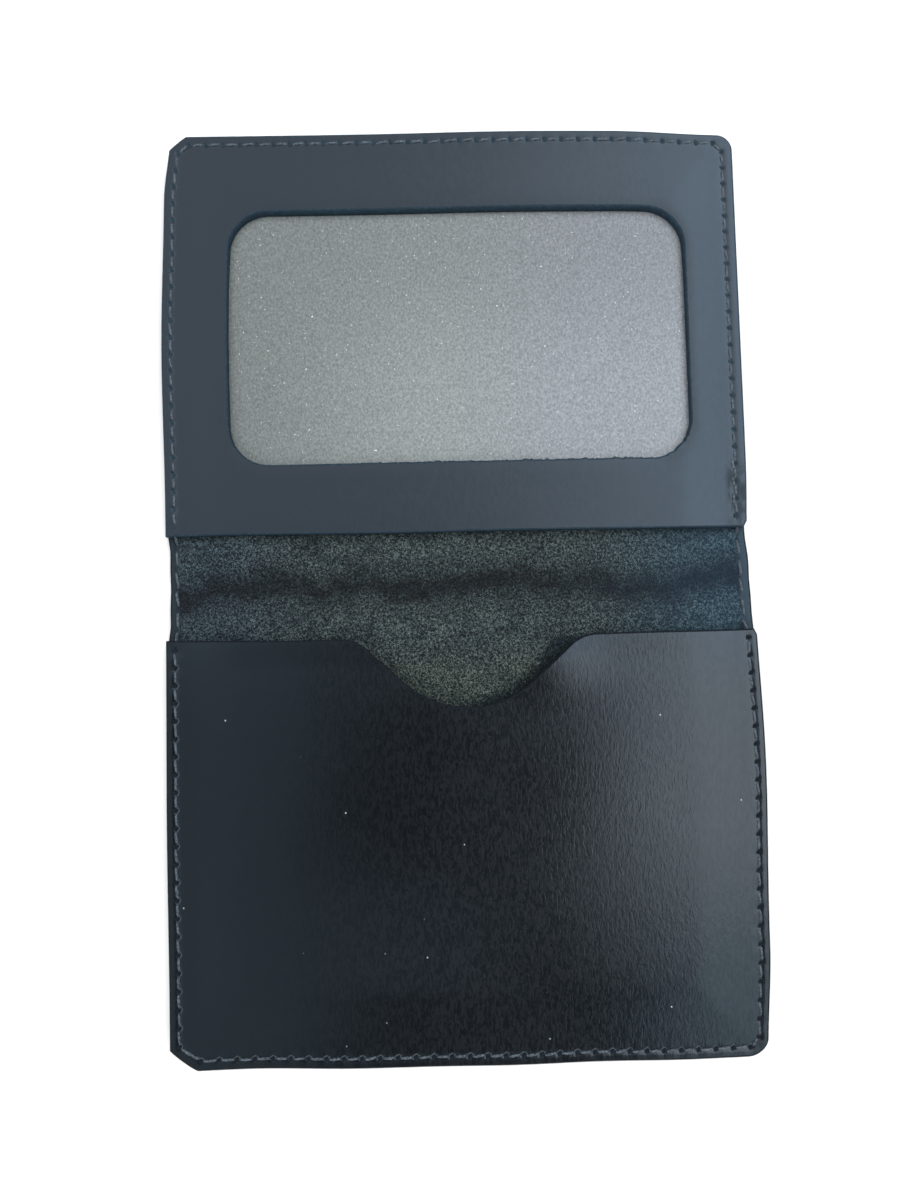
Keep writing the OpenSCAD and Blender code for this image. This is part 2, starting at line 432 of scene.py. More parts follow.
def within(points, rims):
    """Whether each point is inside the first rim and outside the others."""
    result = inside(points, rims[0])
    for rim in rims[1:]:
        result &= ~inside(points, rim)
    return result


def triangulate(name, points, rims):
    """Upward triangles within the rims. points are those of the rims and then those inside."""
    edges = []
    start = 0
    for rim in rims:
        n = len(rim)
        edges += [(start + i, start + (i + 1) % n) for i in range(n)]
        start += n
    out = delaunay_2d_cdt([Vector(p) for p in points], edges, [], 0, 1e-7)
    if len(out[0]) != len(points):
        raise ValueError(f"{name}: {len(points)} points became {len(out[0])}")
    order = [ids[0] for ids in out[3]]
    triangles = np.array([[order[i] for i in face] for face in out[2]])
    triangles = triangles[within(points[triangles].mean(1), rims)]
    a, b, c = (points[triangles[:, i]] for i in range(3))
    area = (b[:, 0] - a[:, 0]) * (c[:, 1] - a[:, 1]) - (b[:, 1] - a[:, 1]) * (c[:, 0] - a[:, 0])
    triangles[area < 0] = triangles[area < 0][:, ::-1]
    return triangles


def wall_rings(rim, normal, flare, high, low, h):
    """The rings of points round a cut edge, between its upper and its lower rim."""
    rings = []
    r = EDGE_R * 1.05
    for out_by, down, foot in WALL:
        at = rim + normal * (EDGE_R * out_by + flare * foot)[:, None]
        if down == 1.0:
            z = (high + low) / 2
        elif down > 0:
            z = high - r * down
        else:
            z = low - r * down
        x, y = warp(at[:, 0], at[:, 1], h)
        rings.append(np.column_stack([x, y, z]))
    return rings


def plate(name, h, loops, materials, inner, top, bottom, holes=None, flares=None):
    """A closed piece of leather. loops are its outline and holes on the straight wallet, inner the
    mesh points inside them, and top and bottom the heights of its faces at any points. flares
    tells how far the foot of each loop's wall stands out beyond its upper edge. The materials are
    those of the upper face, of the lower face, and of the cut edges and needle holes."""
    if flares is None:
        flares = [np.zeros(len(loop)) for loop in loops]
    normals = [rim_normals(loop) for loop in loops]
    rims = [loop - normal * EDGE_R for loop, normal in zip(loops, normals)]
    rim_points = np.vstack(rims)
    least_gap = 0.16
    inner = spread(inner[within(inner, rims)], rim_points, least_gap)
    points = np.vstack([rim_points, inner])
    triangles = triangulate(name, points, rims)
    if h < 0:
        triangles = triangles[:, ::-1]

    count = len(points)
    x, y = warp(points[:, 0], points[:, 1], h)
    vertices = [np.column_stack([x, y, top(points)]), np.column_stack([x, y, bottom(points)])]
    faces = [tuple(t) for t in triangles.tolist()]
    faces += [(c + count, b + count, a + count) for a, b, c in triangles.tolist()]
    pierced = np.zeros(len(triangles), bool)
    if holes is not None:
        pierced = hole_distance(points[triangles].mean(1), holes) < HOLE_R
    index = (2 * pierced).tolist() + [1] * len(triangles)

    sharp = set()
    start = 0
    total = 2 * count
    for rim, normal, flare in zip(rims, normals, flares):
        n = len(rim)
        rows = [start + np.arange(n)]
        for ring in wall_rings(rim, normal, flare, top(rim), bottom(rim), h):
            vertices.append(ring)
            rows.append(total + np.arange(n))
            total += n
        rows.append(start + count + np.arange(n))
        for upper, lower in zip(rows[:-1], rows[1:]):
            for i in range(n):
                j = (i + 1) % n
                face = (upper[i], lower[i], lower[j], upper[j])
                faces.append(tuple(int(k) for k in (face if h > 0 else face[::-1])))
                index.append(2)
        for row in (rows[0], rows[-1]):
            for i in range(n):
                sharp.add(tuple(sorted((int(row[i]), int(row[(i + 1) % n])))))
        start += n
    obj = make_mesh(name, np.vstack(vertices), faces, index, sharp)
    for material in materials:
        obj.data.materials.append(material)
    return obj


def grid_points(step, from_v):
    """An even grid over a half, with every other row shifted by half a step."""
    xs = np.arange(-HALF_W, HALF_W + step, step)
    vs = np.arange(from_v, EDGE_V + step, step)
    gx, gv = np.meshgrid(xs, vs)
    gx[1::2] += step / 2
    return np.column_stack([gx.ravel(), gv.ravel()])


def border_points(loop, insets=(0.35, 0.8)):
    """Rows of points beside a cut edge."""
    return np.vstack([loop - closed_normals(loop) * (EDGE_R + inset) for inset in insets])


def plate_points(stitching, loops, step, from_v):
    """Mesh points of a plate: along its stitches, beside its edges, and an even grid between."""
    patch = stitching.patch()
    patch = patch[np.unique(np.round(patch / 0.12), axis=0, return_index=True)[1]]
    border = spread(np.vstack([border_points(loop) for loop in loops]), patch, 0.3)
    near = np.vstack([patch, border])
    grid = spread(grid_points(step, from_v), near, 0.5 * step)
    return np.vstack([near, grid])


def seam_inset(points):
    """Distance in from the nearest side or outer edge."""
    return np.minimum(HALF_W - np.abs(points[:, 0]), EDGE_V - points[:, 1])


def rise_share(points):
    """How much of its full rise a panel has: none at the seam, all of it a little further in."""
    return smooth((seam_inset(points) - 2.4) / 10)


def waves(points, seed):
    """Slow, shallow undulation of leather, about 0.1 mm."""
    x, v = points[:, 0], points[:, 1]
    a = np.sin(x / 17 + seed) * np.sin(v / 13 + 2 * seed)
    b = np.sin(x / 7.3 + v / 9.1 + 3 * seed)
    return 0.07 * a + 0.03 * b


def puckers(points, stitching):
    """Small swells on both sides of the stitch line, between the holes."""
    inset = seam_inset(points)
    between = 1 - stitching.dip(points, 1.2)
    return between * (0.05 * hump(inset, 0.9, 0.55) + 0.04 * hump(inset, 2.9, 0.8))


def sewn_depth(points, stitching):
    """How far the thread has sunk into a panel, which is most at the holes."""
    return 0.07 * stitching.channel(points, 0.34) + 0.30 * stitching.dip(points, 0.23)


# ---------------------------------------------------------------- materials

class Nodes:
    """Short hand for a node tree."""

    def __init__(self, name):
        self.material = bpy.data.materials.new(name)
        self.material.use_nodes = True
        self.tree = self.material.node_tree
        self.shader = self.tree.nodes["Principled BSDF"]
        self.shader.inputs["IOR"].default_value = 1.5

    def set(self, **values):
        for key, value in values.items():
            self.shader.inputs[key.replace("_", " ")].default_value = value

    def node(self, kind, inputs=(), **settings):
        node = self.tree.nodes.new(kind)
        for key, value in settings.items():
            setattr(node, key, value)
        for key, value in dict(inputs).items():
            if isinstance(value, bpy.types.NodeSocket):
                self.tree.links.new(value, node.inputs[key])
            else:
                node.inputs[key].default_value = value
        return node

    def link(self, output, key):
        self.tree.links.new(output, self.shader.inputs[key])

    def rest(self, scale=(1, 1, 1)):
        """Place at rest in millimetres, scaled."""
        source = self.node("ShaderNodeAttribute", attribute_name="rest")
        scaled = self.node(
            "ShaderNodeVectorMath", {0: source.outputs["Vector"], 1: scale}, operation="MULTIPLY"
        )
        return scaled.outputs["Vector"]

    def noise(self, vector, scale=1.0, detail=2.0, roughness=0.5, distortion=0.0):
        node = self.node("ShaderNodeTexNoise", {
            "Vector": vector, "Scale": scale, "Detail": detail, "Roughness": roughness,
            "Distortion": distortion,
        })
        return node.outputs["Fac"]

    def math(self, operation, a, b=0.0, clamp=False):
        node = self.node("ShaderNodeMath", {0: a, 1: b}, operation=operation)
        node.use_clamp = clamp
        return node.outputs[0]

    def range(self, value, low, high, to_low=0.0, to_high=1.0):
        """A soft step from to_low to to_high while the value goes from low to high."""
        node = self.node("ShaderNodeMapRange", {
            "Value": value, "From Min": low, "From Max": high,
            "To Min": to_low, "To Max": to_high,
        })
        node.interpolation_type = "SMOOTHSTEP"
        return node.outputs["Result"]

    def mix(self, factor, a, b, blend="MIX"):
        node = self.node("ShaderNodeMix", {"Factor": factor}, data_type="RGBA", blend_type=blend)
        for key, value in ((6, a), (7, b)):
            if isinstance(value, bpy.types.NodeSocket):
                self.tree.links.new(value, node.inputs[key])
            else:
                node.inputs[key].default_value = (*value, 1)
        return node.outputs[2]

    def bump(self, height, strength, distance, normal=None):
        inputs = {"Height": height, "Strength": strength, "Distance": distance}
        if normal is not None:
            inputs["Normal"] = normal
        return self.node("ShaderNodeBump", inputs).outputs["Normal"]

    def axis(self, key):
        """Place at rest along one axis: 0, 1 or 2."""
        separate = self.node("ShaderNodeSeparateXYZ", {0: self.rest()})
        return separate.outputs[key]


LEATHER_BLACK = (0.0018, 0.0022, 0.0030)
DUST = (0.42, 0.43, 0.43)
LIGHT_SUEDE = (0.086, 0.116, 0.116)
DARK_SUEDE = (0.004, 0.008, 0.011)
SUEDE_SPECK = (0.20, 0.235, 0.225)
LIGHT_HAZE = (0.176, 0.196, 0.194)
DARK_HAZE = (0.088, 0.101, 0.100)
# Painted glint colour of the thread
THREAD_PAINTED_GLINT = (0.072, 0.100, 0.130)
DARK_THREAD = (0.010, 0.016, 0.024)
BLUE_SHEEN = (0.7, 0.85, 1.0, 1)


def grain_leather(name, gloss, grain, ridge_colour, specks=False, sewn_over=False):
    """Smooth black leather with a fine upright grain that fades out towards the left. gloss holds
    its least and greatest roughness."""
    n = Nodes(name)
    n.set(Roughness=sum(gloss) / 2, Specular_IOR_Level=0.62, Specular_Tint=(0.62, 0.8, 1.0, 1))
    upright = n.rest((2.3, 0.8, 2.3))
    wrinkle = n.noise(upright, 1.0, 1.5, 0.5, 0.8)
    pores = n.noise(n.rest((5, 4, 5)), 1.0, 2.0)
    height = n.math("ADD", wrinkle, n.math("MULTIPLY", pores, 0.3))
    fading = n.range(n.axis(0), -36.0, 4.0, 0.1, 1.0)
    n.link(n.bump(n.math("MULTIPLY", height, fading), grain, 0.00005), "Normal")
    # Ridges are a little greyer than the grooves between them, less so towards the left
    ridge_share = n.math("MULTIPLY", n.range(height, 0.54, 0.76), fading)
    black = n.mix(ridge_share, LEATHER_BLACK, ridge_colour)
    slow = n.noise(n.rest((0.05, 0.05, 0.05)), 1.0, 2.0)
    rough = n.range(slow, 0.3, 0.7, *gloss)
    if sewn_over:
        # Grime around the stitches that were sewn twice, by the mouth on the right
        across = n.range(n.axis(0), 45.4, 46.8)
        from_middle = n.math("ABSOLUTE", n.math("SUBTRACT", n.axis(1), 14.0))
        along = n.range(from_middle, 3.0, 6.5, 1.0, 0.0)
        ragged = n.range(n.noise(n.rest((0.9, 0.5, 0.9)), 1.0, 3.0), 0.35, 0.6)
        grime = n.math("MULTIPLY", n.math("MULTIPLY", across, along), ragged)
        rough = n.math("ADD", rough, n.math("MULTIPLY", grime, 0.35))
    n.link(rough, "Roughness")
    if specks:
        # Specks of dust, one in a few of the cells
        place = n.rest((0.15, 0.13, 0.15))
        cells = n.node(
            "ShaderNodeTexVoronoi", {"Vector": place, "Scale": 1.0}, voronoi_dimensions="2D"
        )
        near = n.range(cells.outputs["Distance"], 0.008, 0.026, 1.0, 0.0)
        channel = n.node("ShaderNodeSeparateColor", {0: cells.outputs["Color"]})
        chosen = n.range(channel.outputs[0], 0.86, 0.96)
        black = n.mix(n.math("MULTIPLY", near, chosen), black, DUST)
    n.link(black, "Base Color")
    return n.material


def suede_leather(name):
    """The fleshy side of the cover: dark, fibrous and matt, with painted shade along the crease and
    a painted shadow by the thumb notch.
    """
    n = Nodes(name)
    n.set(Roughness=0.9, Specular_IOR_Level=0.25)
    n.set(Sheen_Weight=0.05, Sheen_Roughness=0.5, Sheen_Tint=BLUE_SHEEN)
    fibre = n.noise(n.rest((3.3, 2.9, 3.3)), 1.0, 3.0, 0.7, 1.0)
    fine = n.noise(n.rest((5.5, 5, 5.5)), 1.0, 2.0, 0.6)
    patch = n.noise(n.rest((0.16, 0.3, 0.16)), 1.0, 4.0, 0.65, 0.6)
    x, y = n.axis(0), n.axis(1)
    base = n.mix(n.range(fibre, 0.46, 0.61), DARK_SUEDE, LIGHT_SUEDE)
    # Warmer in the thumb notch
    notch = n.range(y, -16.0, -9.0, 0.8, 0.0)
    base = n.mix(notch, base, (1.15, 1.05, 0.85), "MULTIPLY")
    # Painted shadow of the lifted flank of the thumb notch, cast on the suede
    notch_centre = (NOTCH_X, NOTCH_R - NOTCH_DEPTH - MOUTH_V, 0.0)
    from_centre = n.node(
        "ShaderNodeVectorMath", {0: n.rest((1, 1, 0)), 1: notch_centre}, operation="DISTANCE"
    ).outputs["Value"]
    notch_painted_shadow = n.math("MULTIPLY", n.range(from_centre, 13.8, NOTCH_R), n.range(x, -6.0, 6.0))
    notch_painted_shadow = n.math("MULTIPLY", notch_painted_shadow, n.range(y, -10.0, -9.0, 1.0, 0.0))
    base = n.mix(notch_painted_shadow, base, (0.18, 0.26, 0.36), "MULTIPLY")
    base = n.mix(n.range(patch, 0.42, 0.68, 0.0, 0.8), base, (0.35, 0.42, 0.5), "MULTIPLY")
    # The crease wanders across the middle of the band, darkened with painted shade
    wander = n.noise(n.rest((0.05, 0.0, 0.0)), 1.0, 3.0, 0.6)
    middle = n.math("ADD", y, n.range(wander, 0.3, 0.7, -1.6, 2.4))
    ragged = n.math("ADD", n.math("ABSOLUTE", middle), n.range(patch, 0.3, 0.7, -1.6, 1.6))
    clear_of_crease_shade = n.range(ragged, -0.6, 5.2)
    crease_painted_shade = n.mix(clear_of_crease_shade, (0.12, 0.15, 0.20), (1, 1, 1))
    base = n.mix(1.0, base, crease_painted_shade, "MULTIPLY")
    speck = n.math("MULTIPLY", n.range(fine, 0.58, 0.68), n.range(fibre, 0.5, 0.6))
    # The specks are dimmed by the same painted shade in the crease
    speck = n.math("MULTIPLY", speck, n.range(clear_of_crease_shade, 0.0, 1.0, 0.25, 0.8))
    base = n.mix(speck, base, SUEDE_SPECK)
    # Bluer and lighter towards the right with a painted reflection of the right lamps, and a little
    # bluer towards the left
    base = n.mix(n.range(x, 12.0, 46.0, 0.0, 0.2), base, (0.026, 0.052, 0.076))
    base = n.mix(n.range(x, 20.0, 46.0), base, (0.9, 1.15, 1.4), "MULTIPLY")
    base = n.mix(n.range(x, -44.0, -22.0, 1.0, 0.0), base, (0.8, 0.9, 1.05), "MULTIPLY")
    # The strip outside the stitches is pressed flat and smooth; its lighter, bluer right side is a
    # painted reflection of the right lamps
    strip = n.range(n.math("ABSOLUTE", x), 48.0, 48.7)
    strip_colour = n.mix(n.range(x, -10.0, 10.0), (0.010, 0.019, 0.028), (0.030, 0.053, 0.075))
    base = n.mix(strip, base, strip_colour)
    n.link(base, "Base Color")
    n.link(n.range(strip, 0.0, 1.0, 0.9, 0.6), "Roughness")
    nap = n.math("ADD", fibre, n.math("MULTIPLY", fine, 0.5))
    n.link(n.bump(nap, 0.8, 0.0003), "Normal")
    return n.material


def cut_edge(name, colour, roughness):
    """Cut edge of leather, stained dark, with its fibres showing."""
    n = Nodes(name)
    n.set(Roughness=roughness, Specular_IOR_Level=0.2)
    fibre = n.noise(n.rest((1.6, 1.6, 5)), 1.0, 4.0, 0.65, 0.4)
    lighter = tuple(c * 1.9 + 0.002 for c in colour)
    n.link(n.mix(n.range(fibre, 0.4, 0.7), colour, lighter), "Base Color")
    n.link(n.bump(fibre, 0.6, 0.00012), "Normal")
    return n.material


def clear_film(name):
    """Hazy plastic film over the grey nap behind it, with painted light making it lighter and bluer
    to the lower right.
    """
    n = Nodes(name)
    n.set(Roughness=0.33, Alpha=0.93)
    haze = n.noise(n.rest((3.0, 2.1, 1)), 1.0, 3.0, 0.65, 0.5)
    base = n.mix(n.range(haze, 0.3, 0.72), DARK_HAZE, LIGHT_HAZE)
    x, y = n.axis(0), n.axis(1)
    # Painted light from the right lamps: lighter to the right and low down, and bluer to the right
    rightward = n.range(x, -42.0, -2.0)
    low = n.math("MULTIPLY", rightward, n.range(y, 62.0, 30.0))
    base = n.mix(rightward, base, (1.14, 1.14, 1.15), "MULTIPLY")
    base = n.mix(low, base, (1.36, 1.36, 1.36), "MULTIPLY")
    base = n.mix(n.range(x, -15.0, 30.0), base, (1.02, 1.0, 1.12), "MULTIPLY")
    spark = n.noise(n.rest((2.6, 2.3, 1)), 1.0, 2.0, 0.5)
    base = n.mix(n.range(spark, 0.71, 0.76), base, (0.8, 0.82, 0.81))
    n.link(base, "Base Color")
    n.link(n.bump(haze, 0.25, 0.00005), "Normal")
    return n.material


def thread_material(name):
    """Dark polyester thread with a light blue-grey lustre: real sheen, and painted glints in its
    colour.
    """
    n = Nodes(name)
    n.set(Roughness=0.5, Sheen_Weight=0.25, Sheen_Roughness=0.4, Sheen_Tint=BLUE_SHEEN)
    fibre = n.noise(n.rest((3.4, 3.4, 3.4)), 1.0, 3.0, 0.6)
    # Painted glints: the fibres mix towards a light blue-grey
    n.link(n.mix(n.range(fibre, 0.40, 0.60), DARK_THREAD, THREAD_PAINTED_GLINT), "Base Color")
    n.link(n.bump(fibre, 0.4, 0.00004), "Normal")
    return n.material


LEATHER_SMOOTH = grain_leather(
    "leather_smooth", (0.25, 0.28), 0.08, (0.006, 0.0066, 0.008), sewn_over=True
)
LEATHER_GRAINED = grain_leather(
    "leather_grained", (0.18, 0.21), 0.40, (0.0085, 0.0095, 0.0115), specks=True
)
LEATHER_OUTSIDE = grain_leather("leather_outside", (0.26, 0.31), 0.45, (0.010, 0.011, 0.013))
SUEDE = suede_leather("suede_inside")
EDGE = cut_edge("leather_cut_edge", (0.0025, 0.005, 0.008), 0.85)
# The window's cut edge is stained dark; its navy blue is partly a painted reflection of the bluish
# lamps
RIM = cut_edge("window_cut_edge", (0.010, 0.023, 0.036), 0.7)
FILM = clear_film("film_plastic")
THREAD = thread_material("sewing_thread")


# ---------------------------------------------------------------- camera

CAMERA_PLACE = (-0.00472, -0.01291, 0.1557)
CAMERA_VIEW = (0.018, 0.065, -0.998)
CAMERA_UP = (0.0226, 0.9976, 0.0652)
CAMERA_LENS = 27.06
CAMERA_SENSOR = 36.0


def aim(obj, location, direction, up):
    """Put an object at a place, looking along a direction."""
    back = -Vector(direction).normalized()
    right = Vector(up).cross(back).normalized()
    true_up = back.cross(right)
    rotation = Matrix((right, true_up, back)).transposed()
    obj.matrix_world = Matrix.Translation(Vector(location)) @ rotation.to_4x4()


camera_data = bpy.data.cameras.new("camera")
camera_data.lens = CAMERA_LENS
camera_data.sensor_width = CAMERA_SENSOR
camera_data.clip_start = 0.01
camera_data.clip_end = 20.0
camera = link("camera", camera_data)
aim(camera, CAMERA_PLACE, CAMERA_VIEW, CAMERA_UP)
bpy.context.scene.camera = camera


# ---------------------------------------------------------------- covers

def cover_half(name, h):
    """One half of the cover, from the crease in the band out to its three sewn edges."""
    stitching = Stitching(SEAM[h] + BAND)
    path = outer_path(h, MOUTH_V)
    up = line_points((0, 0), (0, MOUTH_V), 0.5)[:, 1]
    right = np.column_stack([band_half_width(up, 1), up])
    left = np.column_stack([-band_half_width(up, -1), up])[::-1]
    crease = line_points((-band_half_width(0.0, -1), 0), (band_half_width(0.0, 1), 0), 0.6)[1:]
    loop = np.vstack([crease, right, path, left])

    def top(points):
        v = points[:, 1]
        z = COVER_T + 0.5 * waves(points, 1 + h) * smooth(seam_inset(points) / 6)
        on_band = 1 - smooth((v - MOUTH_V + 1) / 2)
        # The crease is a shallow valley with a swell beside it
        z = z - 0.22 * hump(v, 0, 1.6) + 0.12 * hump(v, 3.6, 1.6) * on_band
        sewn = stitching.channel(points, 0.45)
        holes = stitching.dip(points, 0.32)
        z = z - on_band * (0.22 * sewn + 0.25 * holes)
        # Under a panel it keeps clear of the panel's lower face
        return z - (1 - on_band) * (0.03 + 0.15 * smooth((seam_inset(points) - 2.6) / 2))

    def bottom(points):
        return 0.5 * stitching.channel(points, 0.42)

    inner = plate_points(stitching, [loop], 1.1, 0.55)
    return plate(name, h, [loop], (SUEDE, LEATHER_OUTSIDE, EDGE), inner, top, bottom)


cover_pocket_side = cover_half("cover_pocket_side", -1)
cover_window_side = cover_half("cover_window_side", 1)


# ---------------------------------------------------------------- inner panels

def pocket_mouth(x):
    """Where the pocket panel's mouth lies along v: bowed, and slightly wavy."""
    middle = 1 - (x / HALF_W) ** 2
    return MOUTH_V - 0.14 + 0.42 * middle + 0.08 * np.sin(x / 6)


def window_mouth(x):
    """Where the window panel's mouth lies along v: slightly askew and wavy."""
    return MOUTH_V - 0.3 - 0.15 * (x / HALF_W) + 0.06 * np.sin(x / 8)


def card_panel():
    """The card pocket, whose mouth lifts a little beside the thumb notch."""
    h = -1
    stitching = Stitching(SEAM[h])
    mouth = notch_path(pocket_mouth)
    path = outer_path(h, MOUTH_V + 1.0)
    loop = np.vstack([mouth, path])

    def lift(points):
        x, v = points[:, 0], points[:, 1]
        flank = hump(x, 14, 8) * hump(v, MOUTH_V + 5, 5)
        lip = 1 - smooth((v - MOUTH_V) / 5)
        return 0.5 * flank + 0.1 * lip * smooth((HALF_W - np.abs(x) - 5) / 8)

    def heights(points):
        return (POCKET_RISE + waves(points, 0.4) + lift(points)) * rise_share(points)

    def top(points):
        z = SEAM_TOP + heights(points) + puckers(points, stitching)
        return z - sewn_depth(points, stitching)

    def bottom(points):
        return COVER_T + heights(points)

    inner = plate_points(stitching, [loop], 1.0, MOUTH_V)
    materials = (LEATHER_GRAINED, SUEDE, EDGE)
    return plate(
        "card_pocket_panel", h, [loop], materials, inner, top, bottom, stitching.holes
    )


def window_panel():
    """The panel with the window, flat round it and pressed down at its cut edge."""
    h = 1
    stitching = Stitching(SEAM[h])
    xs = line_points((-HALF_W, 0), (HALF_W, 0), 0.6)[:, 0]
    mouth = np.column_stack([xs, window_mouth(xs)])
    path = outer_path(h, MOUTH_V + 0.6)
    loop = np.vstack([mouth, path])
    hole = window_path()

    def window_gap(points):
        """Distance out from the window's edge, which is negative inside it."""
        straight = np.array([WINDOW_HALF_W - WINDOW_R, WINDOW_HALF_H - WINDOW_R])
        q = np.abs(points - np.array([WINDOW_X, WINDOW_V])) - straight
        outside = np.hypot(np.maximum(q[:, 0], 0), np.maximum(q[:, 1], 0))
        return outside + np.minimum(np.maximum(q[:, 0], q[:, 1]), 0) - WINDOW_R

    def heights(points):
        near = hump(window_gap(points), 0, 2.2)
        return (WINDOW_RISE + waves(points, 2.1) * (1 - near)) * rise_share(points)

    def top(points):
        z = SEAM_TOP + heights(points) + puckers(points, stitching)
        return z - 0.12 * hump(window_gap(points), 0.2, 0.7) - sewn_depth(points, stitching)

    def bottom(points):
        return COVER_T + heights(points)

    inner = plate_points(stitching, [loop, hole], 1.0, MOUTH_V - 0.5)
    # The cut leans outwards most along the upper edge of the window
    lean = 0.08 + 0.30 * smooth((hole[:, 1] - WINDOW_V - 8) / 14)
    flares = [np.zeros(len(loop)), lean]
    materials = (LEATHER_SMOOTH, SUEDE, RIM)
    return plate(
        "window_frame_panel", h, [loop, hole], materials, inner, top, bottom,
        stitching.holes, flares,
    )


card_pocket_panel = card_panel()
window_frame_panel = window_panel()


# ---------------------------------------------------------------- film

# Depth of the film's two faces below the window panel's lower face
FILM_TOP = 0.03
FILM_FOOT = 0.19


def film_sheet():
    """The film and its adhesive as one thin closed sheet, slightly rippled in the window."""
    columns, rows = 120, 74
    x = np.linspace(FILM_LOW[0], FILM_HIGH[0], columns + 1)
    v = np.linspace(FILM_LOW[1], FILM_HIGH[1], rows + 1)
    gx, gv = np.meshgrid(x, v)
    gx, gv = gx.ravel(), gv.ravel()
    middle = smooth((FILM_HIGH[0] - np.abs(gx) - 4) / 10)
    middle = middle * smooth((np.minimum(gv - FILM_LOW[1], FILM_HIGH[1] - gv) - 4) / 8)
    ripple = 0.04 * np.sin(gx / 9 + gv / 23) + 0.03 * np.sin(gv / 8 - gx / 31 + 1)
    under_panel = COVER_T + WINDOW_RISE * rise_share(np.column_stack([gx, gv]))
    z = under_panel + ripple * middle
    wx, wy = warp(gx, gv, 1)
    top = np.column_stack([wx, wy, z - FILM_TOP])
    low = np.column_stack([wx, wy, z - FILM_FOOT])
    n = len(top)
    faces = []
    for j in range(rows):
        for i in range(columns):
            a = j * (columns + 1) + i
            quad = (a, a + 1, a + columns + 2, a + columns + 1)
            faces.append(quad)
            faces.append(tuple(k + n for k in quad[::-1]))
    ring = list(range(columns + 1))
    ring += [(j + 1) * (columns + 1) - 1 for j in range(1, rows + 1)]
    ring += [rows * (columns + 1) + i for i in range(columns - 1, -1, -1)]
    ring += [j * (columns + 1) for j in range(rows - 1, 0, -1)]
    for i, a in enumerate(ring):
        b = ring[(i + 1) % len(ring)]
        faces.append((a, a + n, b + n, b))
    obj = make_mesh("window_film_sheet", np.vstack([top, low]), faces)
    obj.data.materials.append(FILM)
    return obj


window_film_sheet = film_sheet()


# ---------------------------------------------------------------- stitches

THREAD_R = 0.23
# How far short of the middle of its holes a stitch ends
HOLE_GAP = 0.40
NEEDLE_SEAM_Z = THREAD_HIGH[2] - CAD_THREAD_R
NEEDLE_BAND_Z = COVER_T - 0.08
BOBBIN_Z = 0.29


def stitch_rings(a, b, z_a, z_b, h, up, t, angle):
    """Rings of points along one twisted stitch, a little slanted, that dives into its holes. t
    runs from -1 to 1 along it, and angle round it."""
    jitter = rng.normal(0, 1, 4)
    start, end = np.column_stack(warp(*np.array([a, b]).T, h))
    d = end - start
    length = np.linalg.norm(d)
    d = d / length
    normal = np.array([-d[1], d[0]])
    slant = 0.07 + 0.05 * jitter[0]
    reach = length / 2 - HOLE_GAP + 0.06 * jitter[2]
    along = (start + end) / 2 + np.outer(t * reach, d)
    side = slant * np.sin(t * 1.4) + 0.03 * jitter[1]
    drop = 0.62 * np.abs(t) ** 7 + 0.10 * t ** 2
    z = (z_a + z_b) / 2 + (z_b - z_a) / 2 * t + up * (0.015 * jitter[2] - drop)
    centre = np.column_stack([along + np.outer(side, normal), z])
    tangent = np.gradient(centre, axis=0)
    tangent /= np.linalg.norm(tangent, axis=1)[:, None]
    across = np.cross(tangent, [0, 0, 1.0])
    across /= np.linalg.norm(across, axis=1)[:, None]
    lift = np.cross(across, tangent)
    r = THREAD_R * (1 + 0.04 * jitter[3]) * (1 - 0.25 * np.abs(t) ** 6)
    twist = angle[None, :] * 3 - t[:, None] * 7.5
    lobes = r[:, None] * (1 + 0.10 * np.cos(twist))
    return (
        centre[:, None, :]
        + (lobes * np.cos(angle))[:, :, None] * across[:, None, :]
        + (lobes * np.sin(angle))[:, :, None] * lift[:, None, :]
    )


def thread_tubes(name, h, pieces, up):
    """One closed tube for each stitch. pieces are (a, b, height at a, height at b), and up is 1
    for stitches on the inside of the wallet and -1 on its outside."""
    rings, sides = 15, 12
    t = np.linspace(-1, 1, rings)
    angle = np.linspace(0, 2 * math.pi, sides, endpoint=False)
    vertices, faces = [], []
    for a, b, z_a, z_b in pieces:
        base = len(vertices) * rings * sides
        vertices.append(stitch_rings(a, b, z_a, z_b, h, up, t, angle).reshape(-1, 3))
        for i in range(rings - 1):
            for j in range(sides):
                k = (j + 1) % sides
                p = base + i * sides
                faces.append((p + j, p + k, p + sides + k, p + sides + j))
        faces.append(tuple(base + j for j in range(sides))[::-1])
        faces.append(tuple(base + (rings - 1) * sides + j for j in range(sides)))
    obj = make_mesh(name, np.vstack(vertices), faces)
    obj.data.materials.append(THREAD)
    return obj


def needle_pieces(h):
    """Stitches on the inside: round the seam, along the band, and up onto the panel's mouth."""
    pieces = []
    for run in SEAM[h]:
        pieces += [(a, b, NEEDLE_SEAM_Z, NEEDLE_SEAM_Z) for a, b in zip(run[:-1], run[1:])]
    for run in BAND:
        for i, (a, b) in enumerate(zip(run[:-1], run[1:])):
            last = i == len(run) - 2
            high = NEEDLE_SEAM_Z if last else NEEDLE_BAND_Z
            pieces.append((a, b, NEEDLE_BAND_Z, high))
    # Three stitches were sewn twice, by the mouth on the right of the window half
    if h > 0:
        side = SEAM[h][0][:4]
        for a, b in zip(side[:-1], side[1:]):
            shift = np.array([-0.35, (b - a)[1] * 0.45])
            pieces.append((a + shift, b + shift, NEEDLE_SEAM_Z + 0.06, NEEDLE_SEAM_Z + 0.06))
    return pieces


def bobbin_pieces(h):
    """Stitches on the outside."""
    pieces = []
    for run in SEAM[h] + BAND:
        pieces += [(a, b, BOBBIN_Z, BOBBIN_Z) for a, b in zip(run[:-1], run[1:])]
    return pieces


